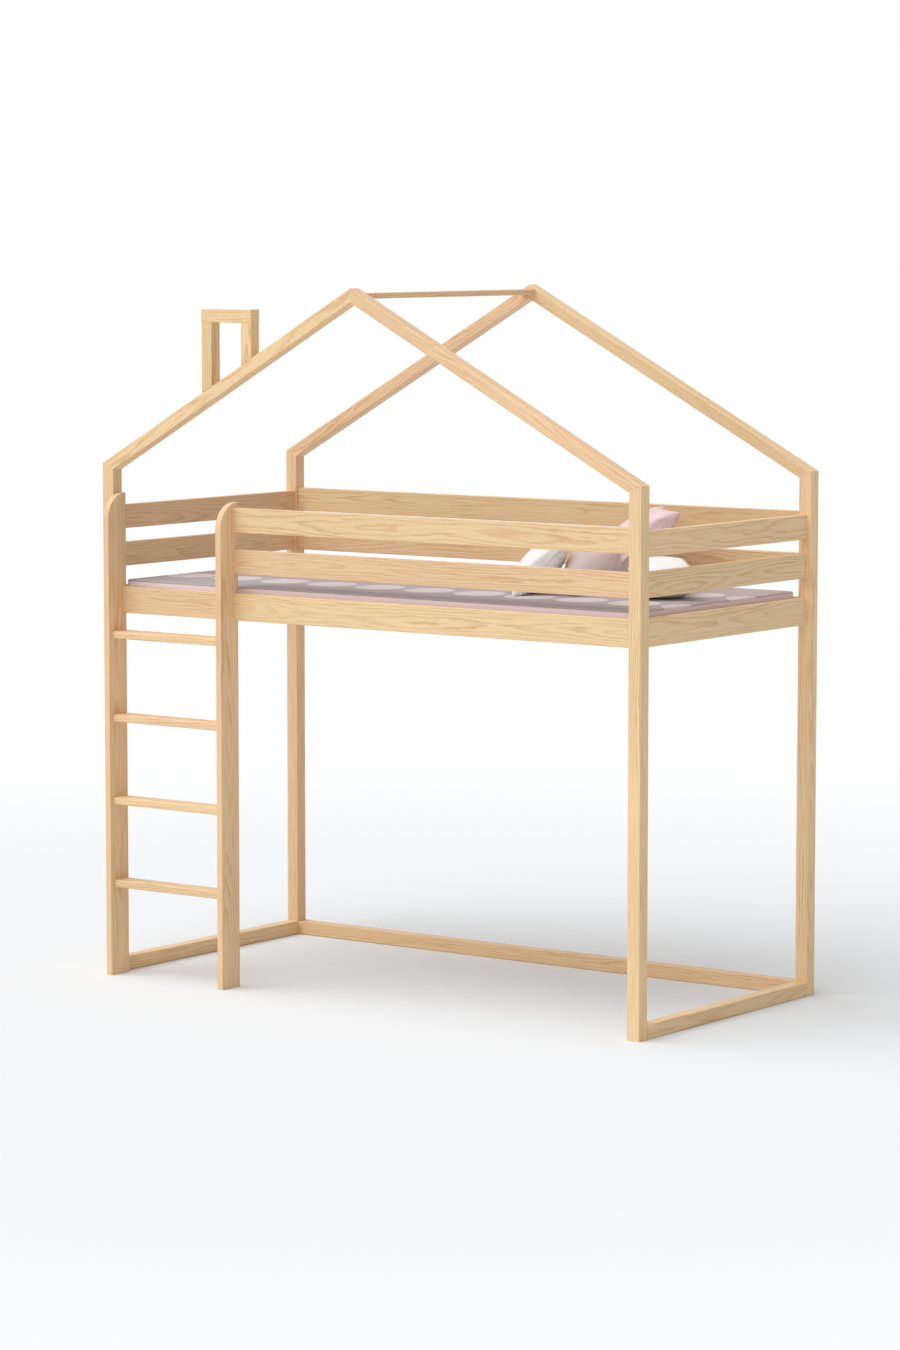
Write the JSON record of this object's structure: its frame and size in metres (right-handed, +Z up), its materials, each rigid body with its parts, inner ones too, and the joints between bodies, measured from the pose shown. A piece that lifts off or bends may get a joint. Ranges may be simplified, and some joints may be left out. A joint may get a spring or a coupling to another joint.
{
  "type": "playhouse loft bed",
  "caption": "House-shaped loft bed for a child, with a ladder, guard rails, a chimney, a slatted base, a mattress and cushions.",
  "frame": {"origin": "on the floor, at the centre of the overall box", "axes": "+X along the bed from the ladder end to the head end, +Y from the ladder side to the back, +Z up"},
  "size_m": [2.1, 1.051, 2.2395],
  "materials": {
    "pine": "clear satin lacquer over pale straight-grained softwood",
    "base_pine": "planed, unfinished",
    "dowel_beech": "fluted beech",
    "webbing": "woven cotton band",
    "screw_steel": "zinc plated",
    "bedding": "cotton cover, pink sides and dotted mauve top",
    "white_fabric": "matt cotton",
    "mauve_fabric": "matt cotton",
    "pink_fabric": "matt cotton"
  },
  "bodies": {
    "frame": {"back_floor_rail": "pine", "back_high_guard": "pine", "back_ledger": "base_pine", "back_left_post": "pine", "back_left_rafter": "pine", "back_low_guard": "pine", "back_right_post": "pine", "back_right_rafter": "pine", "back_side_rail": "pine", "chimney_header": "pine", "chimney_left_leg": "pine", "chimney_right_leg": "pine", "frame_dowels": "dowel_beech", "front_high_guard": "pine", "front_ledger": "base_pine", "front_left_post": "pine", "front_left_rafter": "pine", "front_left_side_rail": "pine", "front_low_guard": "pine", "front_right_post": "pine", "front_right_rafter": "pine", "front_right_side_rail": "pine", "ledger_screws": "screw_steel", "left_end_rail": "pine", "left_floor_rail": "pine", "left_high_guard": "pine", "left_low_guard": "pine", "left_stile": "pine", "ridge_pole": "pine", "right_end_rail": "pine", "right_floor_rail": "pine", "right_high_guard": "pine", "right_low_guard": "pine", "right_stile": "pine", "roof_dowels": "dowel_beech", "rung_1": "pine", "rung_2": "pine", "rung_3": "pine", "rung_4": "pine", "slat_01": "base_pine", "slat_02": "base_pine", "slat_03": "base_pine", "slat_04": "base_pine", "slat_05": "base_pine", "slat_06": "base_pine", "slat_07": "base_pine", "slat_08": "base_pine", "slat_09": "base_pine", "slat_10": "base_pine", "slat_11": "base_pine", "slat_12": "base_pine", "slat_13": "base_pine", "slat_14": "base_pine", "slat_screws": "screw_steel", "slat_straps": "webbing"},
    "mattress": {"mattress": "bedding"},
    "pillow": {"white_pillow": "white_fabric"},
    "pink_cushion": {"pink_cushion": "pink_fabric"},
    "mauve_cushion": {"mauve_cushion": "mauve_fabric"},
    "white_cushion": {"white_cushion": "white_fabric"}
  },
  "joints": [
    {"name": "mattress_lift", "type": "slide", "parent": "frame", "child": "mattress", "axis": [0, 0, 1], "range_m": [0, 0.35]},
    {"name": "pillow_lift", "type": "slide", "parent": "mattress", "child": "pillow", "axis": [0, 0, 1], "range_m": [0, 0.3]},
    {"name": "pink_cushion_lift", "type": "slide", "parent": "pillow", "child": "pink_cushion", "axis": [0, 0, 1], "range_m": [0, 0.3]},
    {"name": "mauve_cushion_lift", "type": "slide", "parent": "pink_cushion", "child": "mauve_cushion", "axis": [0, 0, 1], "range_m": [0, 0.3]},
    {"name": "white_cushion_lift", "type": "slide", "parent": "mauve_cushion", "child": "white_cushion", "axis": [0, 0, 1], "range_m": [0, 0.3]}
  ]
}
